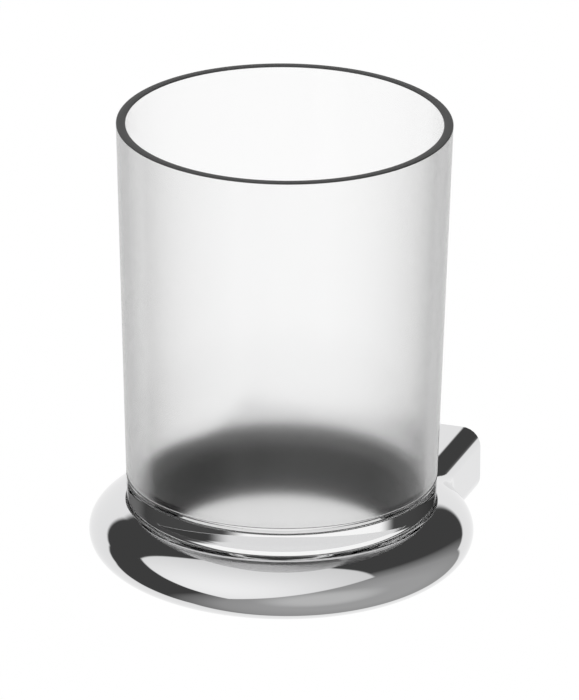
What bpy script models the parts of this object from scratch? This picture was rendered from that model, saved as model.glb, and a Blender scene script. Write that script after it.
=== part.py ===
# Wall-mounted tumbler holder: a frosted glass tumbler standing in a chromed ring with a short wide arm.
# Metres, +Z up. The origin is the centre of the wall face; the arm and ring reach out along -Y.
# Z = 0 is the mid-height of the ring and the arm.

import math

import bmesh
import bpy
import numpy as np
from mathutils import Vector

FIT_GAP = 0.0003

# Ring and arm, one casting
RING_RADIUS = 0.0414
RING_EDGE_REACH = 0.0120
BODY_HEIGHT = 0.0152
ARM_WIDTH = 0.0574
ARM_EDGE_RADIUS = 0.0041
RING_TO_WALL = 0.0505
BLEND_RADIUS = 0.0060

# Tumbler
RIM_RADIUS = 0.0360
RIM_HEIGHT = 0.0933
TUMBLER_TAPER = 0.0319
GLASS_WALL = 0.0020
GLASS_BASE = 0.0078
FOOT_HEIGHT = 0.0034
FOOT_EDGE_RADIUS = 0.0056
FLOOR_CORNER_RADIUS = 0.0010
RIM_EDGE_RADIUS = 0.0002

# Lip of the cup in the ring that takes the tumbler's foot, and the edge that closes the bore below
CUP_LIP_RADIUS = 0.0006
DRAIN_RADIUS = 0.0242
DRAIN_EDGE_HEIGHT = 0.0016
DRAIN_EDGE_RADIUS = 0.0006

# Soft sleeve in the bore, which the glass stands on
LINER_THICKNESS = 0.0015
LINER_EDGE_RADIUS = 0.0004

# Pocket in the arm's wall end, and the bracket that fills it
POCKET_WIDTH = 0.0440
POCKET_HEIGHT = 0.0100
POCKET_DEPTH = 0.0130
POCKET_CORNER_RADIUS = 0.0020
BRACKET_CLEARANCE = 0.0003

# Wall screws, countersunk, with a cross recess
SCREW_SPACING = 0.0300
SCREW_DIAMETER = 0.0040
SCREW_LENGTH = 0.0250
SCREW_HEAD_DIAMETER = 0.0076
SCREW_HOLE_DIAMETER = 0.0048
SCREW_HEAD_RIM = 0.0005
SCREW_HEAD_SINK = 0.0008
SCREW_TIP_LENGTH = 0.0030
CROSS_WIDTH = 0.0042
CROSS_ARM = 0.0010
CROSS_DEPTH = 0.0014

# Lock screw, a headless screw that comes up through the arm's underside
LOCK_DIAMETER = 0.0040
LOCK_SOCKET = 0.0020
LOCK_SOCKET_DEPTH = 0.0018
LOCK_RECESS = 0.0004
LOCK_POINT_DIAMETER = 0.0024
LOCK_POINT_LENGTH = 0.0008
LOCK_NOTCH_DEPTH = 0.0016
LOCK_CLEARANCE = 0.0003

# Facets
TURN_STEPS = 72
SMALL_STEPS = 24
RING_SECTIONS = 64
BLEND_SECTIONS = 6
EDGE_STEPS = 16
CUP_STEPS = 9
CORNER_STEPS = 5
ARM_SECTIONS = (0.0, 0.45, 0.75, 0.9)

# Numbers of the surface search
HALVINGS = 40
TINY = 1e-9

HALF_HEIGHT = BODY_HEIGHT / 2
ARM_HALF = ARM_WIDTH / 2
RING_CENTRE = Vector((0.0, -RING_TO_WALL, 0.0))
FLOOR_HEIGHT = FOOT_HEIGHT + GLASS_BASE
LINER_TOP = FOOT_HEIGHT - FIT_GAP
DRAIN_EDGE_TOP = DRAIN_EDGE_HEIGHT - HALF_HEIGHT
LINER_BOTTOM = DRAIN_EDGE_TOP + FIT_GAP

COLOURS = {
    "chrome": ((0.80, 0.80, 0.81, 1.0), 0.05, 1.0),
    "glass": ((0.90, 0.92, 0.92, 1.0), 0.35, 0.0),
    "liner": ((0.03, 0.03, 0.03, 1.0), 0.50, 0.0),
    "zinc": ((0.55, 0.56, 0.57, 1.0), 0.45, 1.0),
    "steel": ((0.62, 0.63, 0.65, 1.0), 0.30, 1.0),
}


def clear_scene():
    for obj in list(bpy.data.objects):
        bpy.data.objects.remove(obj, do_unlink=True)


def new_collection(name):
    collection = bpy.data.collections.new(name)
    bpy.context.scene.collection.children.link(collection)
    return collection


def new_material(name, finish):
    colour, roughness, metallic = COLOURS[finish]
    material = bpy.data.materials.new(name)
    material.use_nodes = True
    shader = material.node_tree.nodes["Principled BSDF"]
    shader.inputs["Base Color"].default_value = colour
    shader.inputs["Roughness"].default_value = roughness
    shader.inputs["Metallic"].default_value = metallic
    material.diffuse_color = colour
    return material


def add_object(name, mesh, collection, finish=None):
    obj = bpy.data.objects.new(name, mesh)
    collection.objects.link(obj)
    if finish:
        mesh.materials.append(new_material(name, finish))
    return obj


def as_cutter(obj):
    obj.hide_render = True
    obj.display_type = "WIRE"
    return obj


def cut(obj, cutter):
    modifier = obj.modifiers.new("cut " + cutter.name, "BOOLEAN")
    modifier.operation = "DIFFERENCE"
    modifier.solver = "EXACT"
    modifier.object = cutter


def shade(mesh, angle=35):
    mesh.shade_smooth()
    mesh.set_sharp_from_angle(angle=math.radians(angle))


def arc(centre, radius, start, end, steps):
    """Points of a circular arc in the (radius, height) plane, angles in degrees, both ends included."""
    angles = [math.radians(start + (end - start) * i / steps) for i in range(steps + 1)]
    return [(centre[0] + radius * math.cos(a), centre[1] + radius * math.sin(a)) for a in angles]


def revolve(name, profile, collection, finish=None, steps=TURN_STEPS, place=RING_CENTRE):
    """A turned solid: the profile's (radius, height) points run down its outer side, from axis to axis."""
    mesh = bpy.data.meshes.new(name)
    mesh.from_pydata([(r, 0.0, z) for r, z in profile], [(i, i + 1) for i in range(len(profile) - 1)], [])
    obj = add_object(name, mesh, collection, finish)
    obj.location = place
    screw = obj.modifiers.new("turn", "SCREW")
    screw.axis = "Z"
    screw.steps = steps
    screw.render_steps = steps
    screw.use_merge_vertices = True
    screw.merge_threshold = 0.00001
    screw.use_smooth_shade = True
    return obj


def prism(name, width, height, depth, corner, collection, finish=None, steps=CORNER_STEPS):
    """A rounded rectangle in the XZ plane, extruded along Y about the object's origin."""
    corners = [(1, 1, 0), (-1, 1, 90), (-1, -1, 180), (1, -1, 270)]
    outline = []
    for sx, sz, start in corners:
        centre = (sx * (width / 2 - corner), sz * (height / 2 - corner))
        outline += arc(centre, corner, start, start + 90, steps)
    solid = bmesh.new()
    face = solid.faces.new([solid.verts.new((x, -depth / 2, z)) for x, z in outline])
    extruded = bmesh.ops.extrude_face_region(solid, geom=[face])
    moved = [item for item in extruded["geom"] if isinstance(item, bmesh.types.BMVert)]
    bmesh.ops.translate(solid, verts=moved, vec=(0, depth, 0))
    bmesh.ops.recalc_face_normals(solid, faces=solid.faces[:])
    mesh = bpy.data.meshes.new(name)
    solid.to_mesh(mesh)
    solid.free()
    shade(mesh)
    return add_object(name, mesh, collection, finish)


def glass_radius(height):
    """Outer radius of the tumbler's straight tapered wall."""
    return RIM_RADIUS - TUMBLER_TAPER * (RIM_HEIGHT - height)


def foot_centre():
    """Centre of the foot's rounded edge. The cup in the ring is turned about the same point."""
    height = FOOT_HEIGHT + FOOT_EDGE_RADIUS
    return glass_radius(height) - FOOT_EDGE_RADIUS, height


def bore_radius():
    """The bore drops straight down from the cup's lowest point."""
    return foot_centre()[0]


def ring_field(points):
    """Distance to the filled ring: flat in the middle, its edge an ellipse turned about the ring's axis."""
    across = points[..., :2] - np.array([0.0, -RING_TO_WALL])
    radius = np.linalg.norm(across, axis=-1)
    out = np.maximum(radius - (RING_RADIUS - RING_EDGE_REACH), 0.0)
    height = points[..., 2]
    unit = np.hypot(out / RING_EDGE_REACH, height / HALF_HEIGHT)
    slope_out = out / RING_EDGE_REACH**2
    slope_up = height / HALF_HEIGHT**2
    slope = np.hypot(slope_out, slope_up) + TINY
    distance = unit * (unit - 1.0) / slope
    outward = across / (radius[..., None] + TINY)
    normal = np.concatenate([outward * (slope_out / slope)[..., None], (slope_up / slope)[..., None]], axis=-1)
    return distance, normal


def arm_field(points):
    """Distance to the arm, a rounded bar along Y that starts at the ring's axis and runs on past the wall face."""
    sides = np.abs(points[..., [0, 2]])
    start = -RING_TO_WALL - points[..., 1]
    inset = np.stack([
        sides[..., 0] - (ARM_HALF - ARM_EDGE_RADIUS),
        start + ARM_EDGE_RADIUS,
        sides[..., 1] - (HALF_HEIGHT - ARM_EDGE_RADIUS),
    ], axis=-1)
    beyond = np.maximum(inset, 0.0)
    length = np.linalg.norm(beyond, axis=-1)
    distance = length + np.minimum(inset.max(axis=-1), 0.0) - ARM_EDGE_RADIUS
    flat = np.eye(3)[np.argmax(inset, axis=-1)]
    facing = np.where(length[..., None] > TINY, beyond / (length[..., None] + TINY), flat)
    return distance, facing * np.sign(points * [1.0, 0.0, 1.0] - [0.0, 1.0, 0.0])


def body_field(points):
    """The ring and the arm as one form, with a fillet of BLEND_RADIUS where they meet at an angle."""
    ring, ring_normal = ring_field(points)
    arm, arm_normal = arm_field(points)
    spread = BLEND_RADIUS * np.clip(1.0 - (ring_normal * arm_normal).sum(axis=-1), 0.0, 1.0) + TINY
    near = np.clip(1.0 - np.abs(ring - arm) / spread, 0.0, 1.0)
    return np.minimum(ring, arm) - near**2 * spread / 4


def plan_outline():
    """Points and outward normals of the half outline seen from above, from the wall to the ring's front."""
    throat_x = ARM_HALF + BLEND_RADIUS
    throat_y = math.sqrt((RING_RADIUS + BLEND_RADIUS) ** 2 - throat_x**2)
    turn = math.atan2(throat_y, throat_x)
    throat = np.array([throat_x, throat_y - RING_TO_WALL])
    points, normals = [], []
    straight = -throat[1]
    for share in ARM_SECTIONS:
        points.append((ARM_HALF, -straight * share))
        normals.append((1.0, 0.0))
    for i in range(BLEND_SECTIONS):
        angle = math.pi + turn * i / BLEND_SECTIONS
        inward = np.array([math.cos(angle), math.sin(angle)])
        points.append(tuple(throat + BLEND_RADIUS * inward))
        normals.append(tuple(-inward))
    around = RING_SECTIONS // 2
    for i in range(around + 1):
        angle = turn - (turn + math.pi / 2) * i / around
        outward = (math.cos(angle), math.sin(angle))
        points.append((RING_RADIUS * outward[0], RING_RADIUS * outward[1] - RING_TO_WALL))
        normals.append(outward)
    return np.array(points), np.array(normals)


def body_sections():
    """Each section stands square to the outline. Its points lie where rays from its inner end leave the form."""
    half, half_normals = plan_outline()
    mirror = np.array([-1.0, 1.0])
    points = np.concatenate([half, half[-2::-1] * mirror])
    normals = np.concatenate([half_normals, half_normals[-2::-1] * mirror])
    inner = points - normals * RING_EDGE_REACH
    angles = np.radians(np.linspace(90, -90, EDGE_STEPS + 1))
    rays = np.stack([
        normals[:, None, 0] * np.cos(angles),
        normals[:, None, 1] * np.cos(angles),
        np.broadcast_to(np.sin(angles), (len(points), len(angles))),
    ], axis=-1)
    starts = np.concatenate([inner, np.zeros((len(inner), 1))], axis=1)[:, None, :]
    low = np.zeros(rays.shape[:2])
    high = np.full(rays.shape[:2], RING_RADIUS)
    for _ in range(HALVINGS):
        middle = (low + high) / 2
        inside = body_field(starts + rays * middle[..., None]) < 0
        low = np.where(inside, middle, low)
        high = np.where(inside, high, middle)
    return starts + rays * low[..., None]


def make_casting(parts, cutters):
    """The ring and arm: sections lofted round the outline, closed by a flat top, underside and wall end."""
    sections = body_sections()
    solid = bmesh.new()
    rows = [[solid.verts.new(point) for point in section] for section in sections]
    for first, second in zip(rows, rows[1:]):
        for i in range(EDGE_STEPS):
            solid.faces.new([first[i], first[i + 1], second[i + 1], second[i]])
    solid.faces.new([row[0] for row in rows])
    solid.faces.new([row[-1] for row in rows])
    solid.faces.new(rows[0] + rows[-1][::-1])
    bmesh.ops.recalc_face_normals(solid, faces=solid.faces[:])
    mesh = bpy.data.meshes.new("holder_casting")
    solid.to_mesh(mesh)
    solid.free()
    shade(mesh)
    casting = add_object("holder_casting", mesh, parts, "chrome")
    cut(casting, seat_cutter(cutters))
    cut(casting, pocket_cutter(cutters))
    cut(casting, lock_hole_cutter(cutters))
    return casting


def ring_top(radius):
    """Height of the ring's top surface at a distance from its axis, and the angle of its normal in degrees."""
    share = (radius - (RING_RADIUS - RING_EDGE_REACH)) / RING_EDGE_REACH
    share = min(max(share, 0.0), 1.0)
    rise = math.sqrt(1 - share**2)
    return HALF_HEIGHT * rise, math.degrees(math.atan2(rise / HALF_HEIGHT, share / RING_EDGE_REACH))


def cup_lip():
    """Centre of the lip's arc, which touches the ring's top and the cup, and the angle where it meets that top."""
    centre = foot_centre()
    reach = FOOT_EDGE_RADIUS + FIT_GAP + CUP_LIP_RADIUS
    low, high = centre[0], RING_RADIUS
    for _ in range(HALVINGS):
        radius = (low + high) / 2
        height, angle = ring_top(radius)
        lip = (radius - CUP_LIP_RADIUS * math.cos(math.radians(angle)),
               height - CUP_LIP_RADIUS * math.sin(math.radians(angle)))
        if math.dist(lip, centre) < reach:
            low = radius
        else:
            high = radius
    return lip, angle


def seat_cutter(cutters):
    """The cup for the tumbler's foot with its rounded lip, the bore under it and the edge at the bore's end."""
    centre = foot_centre()
    lip, top_angle = cup_lip()
    drop = math.degrees(math.atan2(centre[1] - lip[1], lip[0] - centre[0]))
    above = BODY_HEIGHT
    below = -BODY_HEIGHT
    drain = (DRAIN_RADIUS + DRAIN_EDGE_RADIUS, -HALF_HEIGHT + DRAIN_EDGE_RADIUS)
    lip_arc = arc(lip, CUP_LIP_RADIUS, top_angle, 180 - drop, 5)
    profile = [(0.0, above), (lip_arc[0][0], above)] + lip_arc
    profile += arc(centre, FOOT_EDGE_RADIUS + FIT_GAP, -drop, -90, CUP_STEPS)[1:]
    profile += [(bore_radius(), DRAIN_EDGE_TOP), (DRAIN_RADIUS, DRAIN_EDGE_TOP)]
    profile += arc(drain, DRAIN_EDGE_RADIUS, 180, 270, 3)
    profile += [(drain[0], below), (0.0, below)]
    return as_cutter(revolve("seat cutter", profile, cutters))


def pocket_cutter(cutters):
    """The pocket in the arm's wall end that slides over the bracket."""
    run_out = POCKET_DEPTH
    pocket = prism("pocket cutter", POCKET_WIDTH, POCKET_HEIGHT, POCKET_DEPTH + run_out,
                   POCKET_CORNER_RADIUS, cutters)
    pocket.location = (0.0, (run_out - POCKET_DEPTH) / 2, 0.0)
    return as_cutter(pocket)


def lock_place():
    return Vector((0.0, -POCKET_DEPTH / 2, 0.0))


def lock_hole_cutter(cutters):
    """The lock screw's hole through the arm's underside, into the pocket."""
    radius = LOCK_DIAMETER / 2 + LOCK_CLEARANCE
    profile = [(0.0, 0.0), (radius, 0.0), (radius, -BODY_HEIGHT), (0.0, -BODY_HEIGHT)]
    return as_cutter(revolve("lock hole cutter", profile, cutters, steps=SMALL_STEPS, place=lock_place()))


def make_liner(parts):
    """The soft sleeve in the bore. The glass stands on its upper end, which is rounded inside."""
    outer = bore_radius() - FIT_GAP
    inner = outer - LINER_THICKNESS
    edge = (inner + LINER_EDGE_RADIUS, LINER_TOP - LINER_EDGE_RADIUS)
    profile = [(inner, LINER_BOTTOM)]
    profile += arc(edge, LINER_EDGE_RADIUS, 180, 90, 3)
    profile += [(outer, LINER_TOP), (outer, LINER_BOTTOM), (inner, LINER_BOTTOM)]
    return revolve("seat_liner", profile, parts, "liner")


def make_tumbler(parts):
    """The tapered tumbler: a thick base with a round outer edge, a tight inner corner and a ground rim."""
    rim_outer = RIM_RADIUS - RIM_EDGE_RADIUS
    rim_inner = RIM_RADIUS - GLASS_WALL + RIM_EDGE_RADIUS
    crown = RIM_HEIGHT - RIM_EDGE_RADIUS
    floor_radius = glass_radius(FLOOR_HEIGHT) - GLASS_WALL
    corner = (floor_radius - FLOOR_CORNER_RADIUS, FLOOR_HEIGHT + FLOOR_CORNER_RADIUS)
    profile = [(0.0, FLOOR_HEIGHT)]
    profile += arc(corner, FLOOR_CORNER_RADIUS, -90, 0, 4)
    profile += arc((rim_inner, crown), RIM_EDGE_RADIUS, 180, 90, 2)
    profile += arc((rim_outer, crown), RIM_EDGE_RADIUS, 90, 0, 2)
    profile += arc(foot_centre(), FOOT_EDGE_RADIUS, 0, -90, CUP_STEPS)
    profile += [(0.0, FOOT_HEIGHT)]
    return revolve("tumbler", profile, parts, "glass")


def bracket_depth():
    return POCKET_DEPTH - BRACKET_CLEARANCE


def screw_places():
    return {"left": -SCREW_SPACING / 2, "right": SCREW_SPACING / 2}


def head_profile(extra):
    """Countersunk hole or screw head about its axis: height 0 is the top of the head, the shank runs down."""
    head = SCREW_HEAD_DIAMETER / 2 + extra
    shank = (SCREW_HOLE_DIAMETER if extra else SCREW_DIAMETER) / 2
    cone = head - shank
    return [(head, 0.0), (head, -SCREW_HEAD_RIM), (shank, -SCREW_HEAD_RIM - cone)]


def head_top():
    """Distance of the screw heads' tops in front of the wall face."""
    return bracket_depth() - SCREW_HEAD_SINK


def along_y(obj, x):
    """Turns an upright turned piece so that its top faces away from the wall."""
    obj.rotation_euler = (math.pi / 2, 0.0, 0.0)
    obj.location = (x, -head_top(), 0.0)
    return obj


def make_bracket(parts, cutters):
    """The block screwed to the wall, with two countersunk holes and the notch for the lock screw."""
    width = POCKET_WIDTH - 2 * BRACKET_CLEARANCE
    height = POCKET_HEIGHT - 2 * BRACKET_CLEARANCE
    bracket = prism("wall_bracket", width, height, bracket_depth(),
                    POCKET_CORNER_RADIUS - BRACKET_CLEARANCE, parts, "zinc")
    bracket.location = (0.0, -bracket_depth() / 2, 0.0)
    for side, x in screw_places().items():
        top = [(0.0, POCKET_DEPTH), (SCREW_HEAD_DIAMETER / 2 + FIT_GAP, POCKET_DEPTH)]
        shank = SCREW_HOLE_DIAMETER / 2
        bottom = [(shank, -2 * POCKET_DEPTH), (0.0, -2 * POCKET_DEPTH)]
        hole = revolve("bracket hole " + side, top + head_profile(FIT_GAP) + bottom, cutters,
                       steps=SMALL_STEPS)
        cut(bracket, as_cutter(along_y(hole, x)))
    notch_top = lock_top() + FIT_GAP
    radius = LOCK_DIAMETER / 2 + LOCK_CLEARANCE
    profile = [(0.0, notch_top), (radius, notch_top), (radius, -BODY_HEIGHT), (0.0, -BODY_HEIGHT)]
    notch = revolve("bracket notch", profile, cutters, steps=SMALL_STEPS, place=lock_place())
    cut(bracket, as_cutter(notch))
    return bracket


def cross_cutter(name, place, cutters):
    """The cross recess in a screw head: two crossed bars."""
    bars = []
    for turn in (0.0, math.pi / 2):
        bar = prism(name + (" across" if turn else " upright"), CROSS_ARM, CROSS_WIDTH, 2 * CROSS_DEPTH,
                    CROSS_ARM / 4, cutters, steps=1)
        bar.rotation_euler = (0.0, turn, 0.0)
        bar.location = place
        bars.append(as_cutter(bar))
    return bars


def make_wall_screws(parts, cutters):
    for side, x in screw_places().items():
        name = "wall_screw_" + side
        shank = SCREW_DIAMETER / 2
        profile = [(0.0, 0.0)] + head_profile(0.0)
        profile += [(shank, SCREW_TIP_LENGTH - SCREW_LENGTH), (0.0, -SCREW_LENGTH)]
        screw = along_y(revolve(name, profile, parts, "steel", steps=SMALL_STEPS), x)
        for bar in cross_cutter(name + " recess", (x, -head_top(), 0.0), cutters):
            cut(screw, bar)


def lock_top():
    """Height of the lock screw's point, inside the bracket's notch."""
    return -POCKET_HEIGHT / 2 + BRACKET_CLEARANCE + LOCK_NOTCH_DEPTH


def make_lock_screw(parts, cutters):
    """The headless screw, its point in the bracket's notch and its six-sided socket underneath."""
    radius = LOCK_DIAMETER / 2
    point = LOCK_POINT_DIAMETER / 2
    top = lock_top()
    bottom = -HALF_HEIGHT + LOCK_RECESS
    profile = [(0.0, top), (point, top), (radius, top - LOCK_POINT_LENGTH), (radius, bottom), (0.0, bottom)]
    screw = revolve("lock_screw", profile, parts, "steel", steps=SMALL_STEPS, place=lock_place())
    corner = LOCK_SOCKET / math.sqrt(3)
    roof = bottom + LOCK_SOCKET_DEPTH
    socket_profile = [(0.0, roof), (corner, roof), (corner, -BODY_HEIGHT), (0.0, -BODY_HEIGHT)]
    socket = revolve("lock socket", socket_profile, cutters, steps=6, place=lock_place())
    cut(screw, as_cutter(socket))


def main():
    clear_scene()
    parts = new_collection("tumbler_holder")
    cutters = new_collection("cutters")
    make_casting(parts, cutters)
    make_liner(parts)
    make_tumbler(parts)
    make_bracket(parts, cutters)
    make_wall_screws(parts, cutters)
    make_lock_screw(parts, cutters)


main()
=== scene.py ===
import math

import bmesh
import bpy
import numpy as np
from mathutils import Matrix, Vector


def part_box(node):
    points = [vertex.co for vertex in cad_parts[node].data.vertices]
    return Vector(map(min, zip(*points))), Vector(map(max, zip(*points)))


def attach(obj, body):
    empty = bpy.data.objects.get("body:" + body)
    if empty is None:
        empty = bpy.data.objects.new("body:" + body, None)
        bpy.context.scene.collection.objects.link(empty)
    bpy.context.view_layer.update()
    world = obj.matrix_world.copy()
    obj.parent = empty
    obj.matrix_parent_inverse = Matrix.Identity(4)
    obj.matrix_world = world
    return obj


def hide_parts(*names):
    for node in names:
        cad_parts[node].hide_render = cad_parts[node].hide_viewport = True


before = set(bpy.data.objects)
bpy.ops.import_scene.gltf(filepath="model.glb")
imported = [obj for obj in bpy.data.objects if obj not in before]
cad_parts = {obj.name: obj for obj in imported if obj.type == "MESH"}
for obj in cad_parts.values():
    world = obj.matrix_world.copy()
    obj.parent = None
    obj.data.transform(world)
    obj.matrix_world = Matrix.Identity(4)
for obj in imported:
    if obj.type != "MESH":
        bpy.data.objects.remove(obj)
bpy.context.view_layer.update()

# Sizes that the frame's boxes give, in metres
CASTING_LOW, CASTING_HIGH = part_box("holder_casting")
TUMBLER_LOW, TUMBLER_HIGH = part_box("tumbler")
LINER_LOW, LINER_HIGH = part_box("seat_liner")
HALF_HEIGHT = CASTING_HIGH.z
RING_RADIUS = CASTING_HIGH.x
RING_Y = CASTING_LOW.y + RING_RADIUS
RIM_RADIUS = TUMBLER_HIGH.x
RIM_HEIGHT = TUMBLER_HIGH.z
FOOT_HEIGHT = TUMBLER_LOW.z
RING_AXIS = (0.0, RING_Y)

# Sizes of the casting that its box doesn't give
FIT_GAP = 0.0003
RING_EDGE_REACH = 0.0120
ARM_HALF = 0.0287
ARM_EDGE_RADIUS = 0.0041
BLEND_RADIUS = 0.0060
POCKET_WIDTH = 0.0440
POCKET_HEIGHT = 0.0100
POCKET_DEPTH = 0.0130
POCKET_CORNER_RADIUS = 0.0020
LOCK_HOLE_RADIUS = 0.0023

# Sizes of the tumbler that its box doesn't give
TUMBLER_TAPER = 0.0319
GLASS_WALL = 0.0020
GLASS_BASE = 0.0078
FLOOR_HEIGHT = FOOT_HEIGHT + GLASS_BASE
FLOOR_CORNER_RADIUS = 0.0010
FOOT_EDGE_RADIUS = 0.0056
RIM_EDGE_RADIUS = 0.0002
FROST_HEIGHT = 0.0137
FROST_EDGE_DEPTH = 0.00012
FROST_EDGE_WIDTH = 0.0006

# Sizes of the cup's lip, the bore's lower edge and the soft sleeve
CUP_LIP_RADIUS = 0.0006
DRAIN_RADIUS = 0.0242
DRAIN_EDGE_HEIGHT = 0.0016
DRAIN_EDGE_RADIUS = 0.0006
LINER_THICKNESS = 0.0015
LINER_EDGE_RADIUS = 0.0004

# Steps of the meshes and of the searches for a surface
RING_SECTIONS = 200
BLEND_SECTIONS = 18
ARM_SECTIONS = 14
RING_EDGE_STEPS = 44
TURN_STEPS = 256
LOCK_HOLE_STEPS = 64
LIP_STEPS = 12
CUP_STEPS = 24
DRAIN_EDGE_STEPS = 8
POCKET_CORNER_STEPS = 8
FLOOR_CORNER_STEPS = 12
FOOT_EDGE_STEPS = 40
RIM_EDGE_STEPS = 4
FROST_EDGE_STEPS = 8
LINER_EDGE_STEPS = 6
HALVINGS = 40
NORMAL_STEP = 0.000002

# Lengths below SMALL count as none, and TINY keeps a division from being one by zero
SMALL = 1e-9
TINY = 1e-15

# Where smooth shading ends, and how the cast skin and the cup are told from other faces
SHARP_ANGLE = math.radians(30)
SHADING_MARGIN = 0.00002
SKIN_TOLERANCE = 0.00002
SKIN_FACING = 0.8
WALL_FACE_MARGIN = 0.000001
CUP_SKIN_REACH = 0.0060
CUP_SKIN_DEPTH = 0.0008

# Finishes, with painted shade on the satin glass. A slant runs from 0, seen square on, to 1
WHITE = (1.0, 1.0, 1.0, 1.0)
CHROME_COLOUR = (0.72, 0.72, 0.725, 1.0)
CHROME_ROUGHNESS = 0.03
CUP_COLOUR = (0.12, 0.12, 0.12, 1.0)
CUP_ROUGHNESS = 0.35
ZINC_COLOUR = (0.50, 0.51, 0.52, 1.0)
ZINC_ROUGHNESS = 0.4
STEEL_COLOUR = (0.62, 0.63, 0.65, 1.0)
STEEL_ROUGHNESS = 0.25
LINER_COLOUR = (0.012, 0.012, 0.012, 1.0)
LINER_ROUGHNESS = 0.5
LINER_SPECULAR = 0.2
RIM_COLOUR = (0.05, 0.05, 0.05, 1.0)
RIM_ROUGHNESS = 0.45
GLASS_IOR = 1.5
FROST_ROUGHNESS = 0.20
# Painted shade on the satin glass: its colour darkens between these two slants, down to the level below,
# for the darker surroundings seen through its edges
FROST_SHADE_SLANTS = (0.06, 0.85)
FROST_PAINTED_SHADE_LEVEL = 0.33
BASE_MIRROR_SHARES = (0.35, 0.70)
FLOOR_COLOUR = (0.9, 0.9, 0.9, 1.0)
FLOOR_ROUGHNESS = 0.8

# Light. Directions are azimuth and elevation in degrees
HORIZON_UP = (-110.0, 34.0)
# Each step: the depths where it starts and ends, and the brightness that it adds there
GROUND_STEPS = [(0.0, 0.106, 0.062, 0.176), (0.106, 0.378, 0.0, 0.188), (0.378, 0.75, 0.0, 0.08)]
GLOW_TOWARDS = (44.0, -20.0)
GLOW_EDGE, GLOW_CORE = 0.74, 0.98
GLOW_BRIGHTNESS = 0.18
PANEL_CORNERS = [(-13.2, -24.7), (85.1, 40.4), (-152.0, 68.0), (-85.0, 31.5)]
PANEL_BLUR = 0.02
PANEL_BRIGHTNESS = (0.86, 1.16)
PANEL_BRIGHT_SIDE = (-72.0, 0.0)
PANEL_SIDE_REACH = (-0.8, 0.9)
PANEL_SIDE_FACTORS = (0.78, 1.12)
BACKDROP_CORNERS = [(-105.1, 9.1), (-141.8, 28.5), (-172.0, 23.5), (137.6, -7.5), (142.8, -19.8),
                    (172.9, -57.8), (-105.7, -72.0), (-99.1, -56.5), (-96.5, -15.3)]
BACKDROP_BLUR = 0.03
BEHIND_FROST_BRIGHTNESS = 0.985
BEHIND_FROST_SHARE = 0.8
BEHIND_FROST_HEIGHTS = (0.70, 0.90)
BOUNCES = 12

# Camera: where it stands, and where the rim's centre falls in the 579 by 700 frame
CAMERA_AZIMUTH = 18.27
CAMERA_PITCH = 21.71
CAMERA_ROLL = 0.49
CAMERA_DISTANCE = 3.6
CAMERA_FAR = 100.0
CAMERA_FOCAL_PX = 16889.0
FRAME_WIDTH_PX = 579
FRAME_HEIGHT_PX = 700
RIM_CENTRE_PX = (284.74, 122.90)
SENSOR_MM = 36.0

# Floor under the object
FLOOR_DROP = 0.30
FLOOR_HALF_WIDTH = 20.0
FLOOR_GLOW = 1.05
FLOOR_GLOW_SHARE = 0.9

# Slots of the cup's material on the casting and of the four materials on the glass
CUP_SLOT = 1
FROSTED, CLEAR, BASE, RIM = range(4)


def direction(azimuth, elevation):
    """Unit vector from the object; azimuth 0 is towards -Y and 90 towards +X."""
    a, e = math.radians(azimuth), math.radians(elevation)
    return Vector((math.sin(a) * math.cos(e), -math.cos(a) * math.cos(e), math.sin(e)))


# Materials


class Nodes:
    """A short way to write a node tree. Most calls add one node and return its output socket."""

    def __init__(self, tree):
        self.tree = tree

    def add(self, kind, inputs=None, output=0, **settings):
        node = self.tree.nodes.new(kind)
        for key, value in settings.items():
            setattr(node, key, value)
        for key, value in (inputs or {}).items():
            if isinstance(value, bpy.types.NodeSocket):
                self.tree.links.new(value, node.inputs[key])
            else:
                node.inputs[key].default_value = value
        return node.outputs[output]

    def math(self, operation, first, second):
        return self.add("ShaderNodeMath", {0: first, 1: second}, operation=operation)

    def dot(self, vector, normal):
        return self.add("ShaderNodeVectorMath", {0: vector, 1: normal}, "Value", operation="DOT_PRODUCT")

    def step(self, value, low, high, out_low=0.0, out_high=1.0, smooth=True):
        kind = "SMOOTHSTEP" if smooth else "LINEAR"
        return self.add("ShaderNodeMapRange", {"Value": value, "From Min": low, "From Max": high,
                                               "To Min": out_low, "To Max": out_high},
                        interpolation_type=kind)

    def blend(self, share, first, second):
        return self.add("ShaderNodeMix", {0: share, 2: first, 3: second}, data_type="FLOAT")

    def grey(self, value):
        return self.add("ShaderNodeCombineColor", {0: value, 1: value, 2: value})

    def light_path(self, question):
        return self.add("ShaderNodeLightPath", output=question)

    def surface(self, shader):
        self.tree.links.new(shader, self.tree.nodes["Material Output"].inputs["Surface"])


def new_material(name, inputs):
    material = bpy.data.materials.new(name)
    material.use_nodes = True
    shader = material.node_tree.nodes["Principled BSDF"]
    for key, value in inputs.items():
        shader.inputs[key].default_value = value
    return material, Nodes(material.node_tree), shader


def metal_material(name, colour, roughness):
    return new_material(name, {"Base Color": colour, "Metallic": 1.0, "Roughness": roughness})[0]


def wall_glass(name, roughness):
    return new_material(name, {"Base Color": WHITE, "Transmission Weight": 1.0, "IOR": GLASS_IOR,
                               "Roughness": roughness})


def clear_glass_material():
    return wall_glass("clear_glass", 0.0)[0]


def frosted_glass_material():
    """Satin glass with painted shade: its colour darkens where it is seen at a slant, for the darker
    surroundings seen through its edges.
    """
    material, nodes, shader = wall_glass("frosted_glass", FROST_ROUGHNESS)
    slant = nodes.add("ShaderNodeLayerWeight", output="Facing")
    # Painted shade: the glass's colour is darker where it is seen at a slant
    passed_light_and_painted_shade = nodes.step(slant, *FROST_SHADE_SLANTS, 1.0, FROST_PAINTED_SHADE_LEVEL)
    material.node_tree.links.new(nodes.grey(passed_light_and_painted_shade), shader.inputs["Base Color"])
    return material


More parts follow.
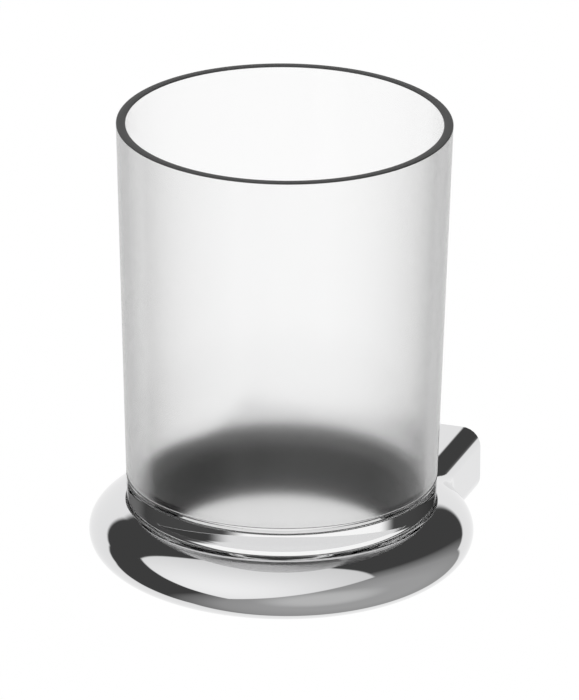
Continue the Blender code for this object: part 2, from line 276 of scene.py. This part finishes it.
def base_glass_material():
    """Clear glass that mirrors only where light turns back wholly. Its faint reflections are left out."""
    material, nodes, shader = new_material("base_glass", {})
    material.node_tree.nodes.remove(shader)
    mirrored = nodes.add("ShaderNodeFresnel", {"IOR": GLASS_IOR})
    passed_light_and_painted_shade = nodes.grey(nodes.math("SUBTRACT", 1.0, mirrored))
    through = nodes.add("ShaderNodeBsdfRefraction", {"Color": passed_light_and_painted_shade, "IOR": GLASS_IOR, "Roughness": 0.0})
    glass = nodes.add("ShaderNodeBsdfGlass", {"IOR": GLASS_IOR, "Roughness": 0.0})
    share = nodes.step(mirrored, *BASE_MIRROR_SHARES)
    nodes.surface(nodes.add("ShaderNodeMixShader", {0: share, 1: through, 2: glass}))
    return material


def rim_material():
    return new_material("ground_rim", {"Base Color": RIM_COLOUR, "Roughness": RIM_ROUGHNESS})[0]


def liner_material():
    return new_material("soft_liner", {"Base Color": LINER_COLOUR, "Roughness": LINER_ROUGHNESS,
                                       "Specular IOR Level": LINER_SPECULAR})[0]


# Meshes


def link(name, data):
    obj = bpy.data.objects.new(name, data)
    bpy.context.scene.collection.objects.link(obj)
    return obj


def finished_mesh(mesh, name):
    data = bpy.data.meshes.new(name)
    mesh.to_mesh(data)
    mesh.free()
    return data


def arc(centre, radius, start, end, steps):
    angles = [math.radians(start + (end - start) * i / steps) for i in range(steps + 1)]
    return [(centre[0] + radius * math.cos(a), centre[1] + radius * math.sin(a)) for a in angles]


def turned_ring(mesh, radius, height, steps, centre):
    """The vertices that one point of a profile gives: a ring of them, or a single one on the axis."""
    if radius < SMALL:
        return [mesh.verts.new((centre[0], centre[1], height))]
    turns = [2 * math.pi * k / steps for k in range(steps)]
    places = [(centre[0] + radius * math.cos(turn), centre[1] + radius * math.sin(turn)) for turn in turns]
    return [mesh.verts.new((x, y, height)) for x, y in places]


def turned_mesh(name, profile, steps, centre, materials=(), slots=None):
    """A turned solid. The profile's (radius, height) points run from the axis to the axis, outer side
    downwards, or round a ring back to the first point. slots gives the material index of each stretch
    between two points."""
    mesh = bmesh.new()
    rings = []
    for radius, height in profile:
        closes = rings and (radius, height) == profile[0] and radius > 0
        rings.append(rings[0] if closes else turned_ring(mesh, radius, height, steps, centre))
    for index, (upper, lower) in enumerate(zip(rings, rings[1:])):
        for k in range(steps):
            after = (k + 1) % steps
            if len(upper) == 1:
                corners = [upper[0], lower[k], lower[after]]
            elif len(lower) == 1:
                corners = [upper[k], lower[0], upper[after]]
            else:
                corners = [upper[k], lower[k], lower[after], upper[after]]
            face = mesh.faces.new(corners)
            if slots:
                face.material_index = slots[index]
    data = finished_mesh(mesh, name)
    for material in materials:
        data.materials.append(material)
    data.shade_smooth()
    data.set_sharp_from_angle(angle=SHARP_ANGLE)
    return data


def rounded_prism(name, width, height, y_low, y_high, corner):
    outline = []
    for sx, sz, start in [(1, 1, 0), (-1, 1, 90), (-1, -1, 180), (1, -1, 270)]:
        centre = (sx * (width / 2 - corner), sz * (height / 2 - corner))
        outline += arc(centre, corner, start, start + 90, POCKET_CORNER_STEPS)
    mesh = bmesh.new()
    face = mesh.faces.new([mesh.verts.new((x, y_low, z)) for x, z in outline])
    extruded = bmesh.ops.extrude_face_region(mesh, geom=[face])
    moved = [item for item in extruded["geom"] if isinstance(item, bmesh.types.BMVert)]
    bmesh.ops.translate(mesh, verts=moved, vec=(0, y_high - y_low, 0))
    bmesh.ops.recalc_face_normals(mesh, faces=mesh.faces[:])
    return finished_mesh(mesh, name)


# Form of the casting


def ring_field(points):
    """Distance to the filled ring: flat in the middle, its edge an ellipse turned about the ring's axis."""
    across = points[..., :2] - np.array(RING_AXIS)
    radius = np.linalg.norm(across, axis=-1)
    out = np.maximum(radius - (RING_RADIUS - RING_EDGE_REACH), 0.0)
    height = points[..., 2]
    unit = np.hypot(out / RING_EDGE_REACH, height / HALF_HEIGHT)
    slope_out = out / RING_EDGE_REACH**2
    slope_up = height / HALF_HEIGHT**2
    slope = np.hypot(slope_out, slope_up) + SMALL
    distance = unit * (unit - 1.0) / slope
    outward = across / (radius[..., None] + TINY)
    level_part = outward * (slope_out / slope)[..., None]
    normal = np.concatenate([level_part, (slope_up / slope)[..., None]], axis=-1)
    return distance, normal


def arm_field(points):
    """Distance to the arm, a rounded bar that starts at the ring's axis and runs on past the wall face."""
    sides = np.abs(points[..., [0, 2]])
    inset = np.stack([
        sides[..., 0] - (ARM_HALF - ARM_EDGE_RADIUS),
        RING_Y - points[..., 1] + ARM_EDGE_RADIUS,
        sides[..., 1] - (HALF_HEIGHT - ARM_EDGE_RADIUS),
    ], axis=-1)
    beyond = np.maximum(inset, 0.0)
    length = np.linalg.norm(beyond, axis=-1)
    distance = length + np.minimum(inset.max(axis=-1), 0.0) - ARM_EDGE_RADIUS
    flat = np.eye(3)[np.argmax(inset, axis=-1)]
    facing = np.where(length[..., None] > SMALL, beyond / (length[..., None] + TINY), flat)
    return distance, facing * np.sign(points * [1.0, 0.0, 1.0] - [0.0, 1.0, 0.0])


def body_field(points):
    """The ring and the arm as one form, with a fillet of BLEND_RADIUS where they meet at an angle."""
    ring, ring_normal = ring_field(points)
    arm, arm_normal = arm_field(points)
    angle_share = np.clip(1.0 - (ring_normal * arm_normal).sum(axis=-1), 0.0, 1.0)
    spread = BLEND_RADIUS * angle_share + SMALL
    near = np.clip(1.0 - np.abs(ring - arm) / spread, 0.0, 1.0)
    return np.minimum(ring, arm) - near**2 * spread / 4


def field_normals(points):
    slopes = []
    for axis in np.eye(3):
        slopes.append(body_field(points + axis * NORMAL_STEP) - body_field(points - axis * NORMAL_STEP))
    normals = np.stack(slopes, axis=-1)
    return normals / (np.linalg.norm(normals, axis=-1, keepdims=True) + TINY)


def plan_outline():
    """Points and outward normals of the half outline seen from above, from the wall to the ring's front."""
    throat_x = ARM_HALF + BLEND_RADIUS
    throat_y = math.sqrt((RING_RADIUS + BLEND_RADIUS) ** 2 - throat_x**2)
    turn = math.atan2(throat_y, throat_x)
    throat = np.array([throat_x, throat_y + RING_Y])
    points, normals = [], []
    for i in range(ARM_SECTIONS):
        points.append((ARM_HALF, throat[1] * i / ARM_SECTIONS))
        normals.append((1.0, 0.0))
    for i in range(BLEND_SECTIONS):
        angle = math.pi + turn * i / BLEND_SECTIONS
        inward = np.array([math.cos(angle), math.sin(angle)])
        points.append(tuple(throat + BLEND_RADIUS * inward))
        normals.append(tuple(-inward))
    around = RING_SECTIONS // 2
    for i in range(around + 1):
        angle = turn - (turn + math.pi / 2) * i / around
        outward = (math.cos(angle), math.sin(angle))
        points.append((RING_RADIUS * outward[0], RING_RADIUS * outward[1] + RING_Y))
        normals.append(outward)
    return np.array(points), np.array(normals)


def body_sections():
    """Sections square to the outline. Their points lie where rays from the inner end leave the form."""
    half, half_normals = plan_outline()
    mirror = np.array([-1.0, 1.0])
    points = np.concatenate([half, half[-2::-1] * mirror])
    normals = np.concatenate([half_normals, half_normals[-2::-1] * mirror])
    inner = points - normals * RING_EDGE_REACH
    angles = np.radians(np.linspace(90, -90, RING_EDGE_STEPS + 1))
    rays = np.stack([
        normals[:, None, 0] * np.cos(angles),
        normals[:, None, 1] * np.cos(angles),
        np.broadcast_to(np.sin(angles), (len(points), len(angles))),
    ], axis=-1)
    starts = np.concatenate([inner, np.zeros((len(inner), 1))], axis=1)[:, None, :]
    low = np.zeros(rays.shape[:2])
    high = np.full(rays.shape[:2], RING_RADIUS)
    for _ in range(HALVINGS):
        middle = (low + high) / 2
        inside = body_field(starts + rays * middle[..., None]) < 0
        low = np.where(inside, middle, low)
        high = np.where(inside, high, middle)
    return starts + rays * low[..., None]


# Seat of the tumbler


def glass_radius(height):
    return RIM_RADIUS - TUMBLER_TAPER * (RIM_HEIGHT - height)


def foot_centre():
    """Centre of the foot's rounded edge. The cup in the ring is turned about the same point."""
    height = FOOT_HEIGHT + FOOT_EDGE_RADIUS
    return glass_radius(height) - FOOT_EDGE_RADIUS, height


def bore_radius():
    """The bore drops straight down from the cup's lowest point."""
    return foot_centre()[0]


def ring_top(radius):
    """Height of the ring's top surface at a distance from its axis, and its normal's angle in degrees."""
    share = (radius - (RING_RADIUS - RING_EDGE_REACH)) / RING_EDGE_REACH
    share = min(max(share, 0.0), 1.0)
    rise = math.sqrt(1 - share**2)
    return HALF_HEIGHT * rise, math.degrees(math.atan2(rise / HALF_HEIGHT, share / RING_EDGE_REACH))


def cup_lip():
    """Centre of the lip's arc, which touches the ring's top and the cup, and that top's angle there."""
    centre = foot_centre()
    reach = FOOT_EDGE_RADIUS + FIT_GAP + CUP_LIP_RADIUS
    low, high = centre[0], RING_RADIUS
    for _ in range(HALVINGS):
        radius = (low + high) / 2
        height, angle = ring_top(radius)
        lip = (radius - CUP_LIP_RADIUS * math.cos(math.radians(angle)),
               height - CUP_LIP_RADIUS * math.sin(math.radians(angle)))
        if math.dist(lip, centre) < reach:
            low = radius
        else:
            high = radius
    return lip, angle


def seat_profile():
    """The cup for the tumbler's foot with its rounded lip, the bore and the edge at the bore's end."""
    centre = foot_centre()
    lip, top_angle = cup_lip()
    above, below = 2 * HALF_HEIGHT, -2 * HALF_HEIGHT
    drop = math.degrees(math.atan2(centre[1] - lip[1], lip[0] - centre[0]))
    ledge = DRAIN_EDGE_HEIGHT - HALF_HEIGHT
    drain = (DRAIN_RADIUS + DRAIN_EDGE_RADIUS, -HALF_HEIGHT + DRAIN_EDGE_RADIUS)
    lip_arc = arc(lip, CUP_LIP_RADIUS, top_angle, 180 - drop, LIP_STEPS)
    profile = [(0.0, above), (lip_arc[0][0], above)] + lip_arc
    profile += arc(centre, FOOT_EDGE_RADIUS + FIT_GAP, -drop, -90, CUP_STEPS)[1:]
    profile += [(bore_radius(), ledge), (DRAIN_RADIUS, ledge)]
    profile += arc(drain, DRAIN_EDGE_RADIUS, 180, 270, DRAIN_EDGE_STEPS)
    profile += [(drain[0], below), (0.0, below)]
    return profile


# Pieces


def casting_blank():
    """The ring and the arm as one solid, before anything is cut out of it."""
    mesh = bmesh.new()
    rows = [[mesh.verts.new(point) for point in section] for section in body_sections()]
    for first, second in zip(rows, rows[1:]):
        for i in range(RING_EDGE_STEPS):
            mesh.faces.new([first[i], first[i + 1], second[i + 1], second[i]])
    mesh.faces.new([row[0] for row in rows])
    mesh.faces.new([row[-1] for row in rows])
    mesh.faces.new(rows[0] + rows[-1][::-1])
    bmesh.ops.recalc_face_normals(mesh, faces=mesh.faces[:])
    return link("casting_blank", finished_mesh(mesh, "casting_blank"))


def casting_cutters():
    below = -2 * HALF_HEIGHT
    lock_hole = [(0.0, 0.0), (LOCK_HOLE_RADIUS, 0.0), (LOCK_HOLE_RADIUS, below), (0.0, below)]
    lock_place = (0.0, -POCKET_DEPTH / 2)
    return [
        link("seat_cutter", turned_mesh("seat_cutter", seat_profile(), TURN_STEPS, RING_AXIS)),
        link("pocket_cutter", rounded_prism("pocket_cutter", POCKET_WIDTH, POCKET_HEIGHT, -POCKET_DEPTH,
                                            POCKET_DEPTH, POCKET_CORNER_RADIUS)),
        link("lock_hole_cutter", turned_mesh("lock_hole_cutter", lock_hole, LOCK_HOLE_STEPS, lock_place)),
    ]


def cut_mesh(blank, cutters):
    for cutter in cutters:
        modifier = blank.modifiers.new(cutter.name, "BOOLEAN")
        modifier.operation = "DIFFERENCE"
        modifier.solver = "EXACT"
        modifier.object = cutter
    bpy.context.view_layer.update()
    depsgraph = bpy.context.evaluated_depsgraph_get()
    data = bpy.data.meshes.new_from_object(blank.evaluated_get(depsgraph))
    for obj in [blank] + cutters:
        bpy.data.objects.remove(obj, do_unlink=True)
    return data


def smooth_skin(mesh):
    """Gives the corners on the cast skin the form's own normals, so that reflections run without facets."""
    mesh.shade_smooth()
    mesh.set_sharp_from_angle(angle=SHARP_ANGLE)
    places = np.array([vertex.co for vertex in mesh.vertices])
    truth = field_normals(places)
    normals = np.zeros((len(mesh.loops), 3))
    for polygon in mesh.polygons:
        corners = [mesh.loops[i].vertex_index for i in polygon.loop_indices]
        facing = truth[corners] @ np.array(polygon.normal)
        on_skin = np.abs(body_field(places[corners])).max() < SKIN_TOLERANCE
        off_wall = places[corners][:, 1].min() < -WALL_FACE_MARGIN
        if on_skin and off_wall and facing.min() > SKIN_FACING:
            for i, corner in zip(polygon.loop_indices, corners):
                normals[i] = truth[corner]
    mesh.normals_split_custom_set(normals.tolist())


def darken_cup(mesh):
    """The cup and the bore get a dark, rough metal, unlike the polished skin."""
    for polygon in mesh.polygons:
        place = np.array([polygon.center])
        inside = math.dist(place[0][:2], RING_AXIS) < RING_RADIUS - CUP_SKIN_REACH
        if inside and body_field(place)[0] < -CUP_SKIN_DEPTH:
            polygon.material_index = CUP_SLOT


def make_casting():
    data = cut_mesh(casting_blank(), casting_cutters())
    data.name = "chrome_casting"
    data.materials.clear()
    data.materials.append(metal_material("polished_chrome", CHROME_COLOUR, CHROME_ROUGHNESS))
    data.materials.append(metal_material("dark_cup", CUP_COLOUR, CUP_ROUGHNESS))
    smooth_skin(data)
    darken_cup(data)
    casting = link("chrome_casting", data)
    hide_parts("holder_casting")
    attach(casting, "holder")


def straight(start, end):
    """Points from just past the start to the end. Smooth shading then turns only at the stretch's ends."""
    margin = SHADING_MARGIN / math.dist(start, end)
    return [(start[0] + (end[0] - start[0]) * share, start[1] + (end[1] - start[1]) * share)
            for share in (margin, 1.0 - margin, 1.0)]


def frost_edge():
    """A fine rounded groove round the glass, where the frosting ends."""
    points = []
    for i in range(1, FROST_EDGE_STEPS + 1):
        share = i / FROST_EDGE_STEPS
        height = FROST_HEIGHT - FROST_EDGE_WIDTH * share
        depth = FROST_EDGE_DEPTH * math.sin(math.pi * share)
        points.append((glass_radius(height) - depth, height))
    return points


def tumbler_profile():
    """The glass's outline, from the floor's middle over the rim to the foot's middle, and its slots."""
    rim_outer = RIM_RADIUS - RIM_EDGE_RADIUS
    rim_inner = RIM_RADIUS - GLASS_WALL + RIM_EDGE_RADIUS
    crown = RIM_HEIGHT - RIM_EDGE_RADIUS
    floor_radius = glass_radius(FLOOR_HEIGHT) - GLASS_WALL
    corner = (floor_radius - FLOOR_CORNER_RADIUS, FLOOR_HEIGHT + FLOOR_CORNER_RADIUS)
    floor_top, foot_bottom = (0.0, FLOOR_HEIGHT), (0.0, FOOT_HEIGHT)
    floor_edge = arc(corner, FLOOR_CORNER_RADIUS, -90, 0, FLOOR_CORNER_STEPS)
    rim = arc((rim_inner, crown), RIM_EDGE_RADIUS, 180, 90, RIM_EDGE_STEPS)
    rim += arc((rim_outer, crown), RIM_EDGE_RADIUS, 90, 0, RIM_EDGE_STEPS)
    groove = frost_edge()
    foot_edge = arc(foot_centre(), FOOT_EDGE_RADIUS, 0, -90, FOOT_EDGE_STEPS)
    stretches = [
        (BASE, [floor_top] + straight(floor_top, floor_edge[0]) + floor_edge[1:]),
        (CLEAR, straight(floor_edge[-1], rim[0])),
        (RIM, rim[1:]),
        (FROSTED, straight(rim[-1], (glass_radius(FROST_HEIGHT), FROST_HEIGHT))),
        (BASE, groove + straight(groove[-1], foot_edge[0]) + foot_edge[1:]),
        (BASE, straight(foot_edge[-1], foot_bottom)),
    ]
    profile = [point for slot, points in stretches for point in points]
    slots = [slot for slot, points in stretches for point in points][1:]
    return profile, slots


def make_tumbler():
    materials = [frosted_glass_material(), clear_glass_material(), base_glass_material(), rim_material()]
    profile, slots = tumbler_profile()
    data = turned_mesh("glass_tumbler", profile, TURN_STEPS, RING_AXIS, materials, slots)
    tumbler = link("glass_tumbler", data)
    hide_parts("tumbler")
    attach(tumbler, "tumbler")


def make_liner():
    """The dark sleeve in the bore, which the glass stands on."""
    outer = bore_radius() - FIT_GAP
    inner = outer - LINER_THICKNESS
    edge = (inner + LINER_EDGE_RADIUS, LINER_HIGH.z - LINER_EDGE_RADIUS)
    profile = [(inner, LINER_LOW.z)] + arc(edge, LINER_EDGE_RADIUS, 180, 90, LINER_EDGE_STEPS)
    profile += [(outer, LINER_HIGH.z), (outer, LINER_LOW.z), (inner, LINER_LOW.z)]
    data = turned_mesh("soft_sleeve", profile, TURN_STEPS, RING_AXIS, [liner_material()])
    liner = link("soft_sleeve", data)
    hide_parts("seat_liner")
    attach(liner, "holder")


def dress_cad_nodes():
    zinc = metal_material("bare_zinc", ZINC_COLOUR, ZINC_ROUGHNESS)
    steel = metal_material("screw_steel", STEEL_COLOUR, STEEL_ROUGHNESS)
    finishes = {
        "wall_bracket": zinc,
        "wall_screw_left": steel,
        "wall_screw_right": steel,
        "lock_screw": steel,
    }
    for name, material in finishes.items():
        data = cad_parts[name].data
        data.materials.clear()
        data.materials.append(material)


# Surroundings


def polygon_mask(nodes, ray, corners, blur):
    """1 inside a convex polygon of directions, 0 outside."""
    points = [direction(*corner) for corner in corners]
    middle = sum(points, Vector()).normalized()
    mask = None
    for first, second in zip(points, points[1:] + points[:1]):
        normal = first.cross(second).normalized()
        if normal.dot(middle) < 0:
            normal = -normal
        inside = nodes.step(nodes.dot(ray, normal), -blur, blur)
        mask = inside if mask is None else nodes.math("MINIMUM", mask, inside)
    return mask


def ground_light(nodes, ray):
    """Dark above a slanted horizon, lighter in steps below it, with a soft glow at one place."""
    depth = nodes.math("MULTIPLY", nodes.dot(ray, direction(*HORIZON_UP)), -1.0)
    value = 0.0
    for low, high, start, end in GROUND_STEPS:
        value = nodes.math("ADD", value, nodes.step(depth, low, high, start, end, smooth=False))
    glow = nodes.step(nodes.dot(ray, direction(*GLOW_TOWARDS)), GLOW_EDGE, GLOW_CORE, 0.0, GLOW_BRIGHTNESS)
    return nodes.math("ADD", value, glow)


def panel_light(nodes, ray):
    """The large panel is brightest towards the camera and on one side."""
    towards = nodes.dot(ray, direction(CAMERA_AZIMUTH, CAMERA_PITCH))
    value = nodes.step(towards, 0.0, 1.0, *PANEL_BRIGHTNESS, smooth=False)
    side = nodes.dot(ray, direction(*PANEL_BRIGHT_SIDE))
    factor = nodes.step(side, *PANEL_SIDE_REACH, *PANEL_SIDE_FACTORS, smooth=False)
    return nodes.math("MULTIPLY", value, factor)


def share_behind_frost(nodes, ray):
    """The share of plain light that a ray meets after frosted glass. It fades to none steeply upwards."""
    blurred = nodes.math("SUBTRACT", 1.0, nodes.light_path("Is Singular Ray"))
    through = nodes.math("MULTIPLY", nodes.light_path("Is Transmission Ray"), blurred)
    height = nodes.dot(ray, (0.0, 0.0, 1.0))
    share = nodes.step(height, *BEHIND_FROST_HEIGHTS, BEHIND_FROST_SHARE, 0.0)
    return nodes.math("MULTIPLY", through, share)


def make_world():
    world = bpy.data.worlds.new("studio")
    bpy.context.scene.world = world
    world.use_nodes = True
    tree = world.node_tree
    tree.nodes.clear()
    nodes = Nodes(tree)
    ray = nodes.add("ShaderNodeTexCoord", output="Generated")
    panel_mask = polygon_mask(nodes, ray, PANEL_CORNERS, PANEL_BLUR)
    backdrop_mask = polygon_mask(nodes, ray, BACKDROP_CORNERS, BACKDROP_BLUR)
    value = nodes.blend(panel_mask, ground_light(nodes, ray), panel_light(nodes, ray))
    value = nodes.blend(backdrop_mask, value, 1.0)
    value = nodes.blend(nodes.light_path("Is Camera Ray"), value, 1.0)
    value = nodes.blend(share_behind_frost(nodes, ray), value, BEHIND_FROST_BRIGHTNESS)
    background = nodes.add("ShaderNodeBackground", {"Color": nodes.grey(value), "Strength": 1.0})
    output = tree.nodes.new("ShaderNodeOutputWorld")
    tree.links.new(background, output.inputs["Surface"])


def floor_material():
    """Pale and evenly lit for the camera, with the object's shadow left in. From below it can't be seen."""
    inputs = {"Base Color": FLOOR_COLOUR, "Roughness": FLOOR_ROUGHNESS}
    material, nodes, shader = new_material("pale_floor", inputs)
    glow = nodes.add("ShaderNodeEmission", {"Color": WHITE, "Strength": FLOOR_GLOW})
    share = nodes.math("MULTIPLY", nodes.light_path("Is Camera Ray"), FLOOR_GLOW_SHARE)
    lit = nodes.add("ShaderNodeMixShader", {0: share, 1: shader.outputs[0], 2: glow})
    from_below = nodes.add("ShaderNodeNewGeometry", output="Backfacing")
    hidden = nodes.add("ShaderNodeBsdfTransparent")
    nodes.surface(nodes.add("ShaderNodeMixShader", {0: from_below, 1: lit, 2: hidden}))
    return material


def make_floor():
    mesh = bmesh.new()
    bmesh.ops.create_grid(mesh, x_segments=1, y_segments=1, size=FLOOR_HALF_WIDTH)
    data = finished_mesh(mesh, "floor")
    data.materials.append(floor_material())
    floor = link("floor", data)
    floor.location.z = -FLOOR_DROP
    floor.visible_glossy = False
    floor.visible_transmission = False


def make_camera():
    """The camera looks so that the rim's centre falls on its place in the frame."""
    back = direction(CAMERA_AZIMUTH, CAMERA_PITCH)
    level = Vector((math.cos(math.radians(CAMERA_AZIMUTH)), math.sin(math.radians(CAMERA_AZIMUTH)), 0.0))
    upright = back.cross(level)
    roll = math.radians(CAMERA_ROLL)
    right = math.cos(roll) * level + math.sin(roll) * upright
    up = -math.sin(roll) * level + math.cos(roll) * upright
    across = (RIM_CENTRE_PX[0] - FRAME_WIDTH_PX / 2) / CAMERA_FOCAL_PX
    above = -(RIM_CENTRE_PX[1] - FRAME_HEIGHT_PX / 2) / CAMERA_FOCAL_PX
    rim_centre = Vector((0.0, RING_Y, RIM_HEIGHT))
    place = rim_centre + CAMERA_DISTANCE * (back - across * right - above * up)
    data = bpy.data.cameras.new("camera")
    data.sensor_width = SENSOR_MM
    data.lens = CAMERA_FOCAL_PX * SENSOR_MM / FRAME_HEIGHT_PX
    data.clip_end = CAMERA_FAR
    camera = link("camera", data)
    camera.matrix_world = Matrix.Translation(place) @ Matrix((right, up, back)).transposed().to_4x4()
    bpy.context.scene.camera = camera


make_casting()
make_tumbler()
make_liner()
dress_cad_nodes()
make_world()
make_floor()
make_camera()
scene = bpy.context.scene
scene.view_settings.view_transform = "Standard"
scene.cycles.max_bounces = BOUNCES
scene.cycles.transmission_bounces = BOUNCES
scene.cycles.glossy_bounces = BOUNCES

bpy.context.view_layer.update()
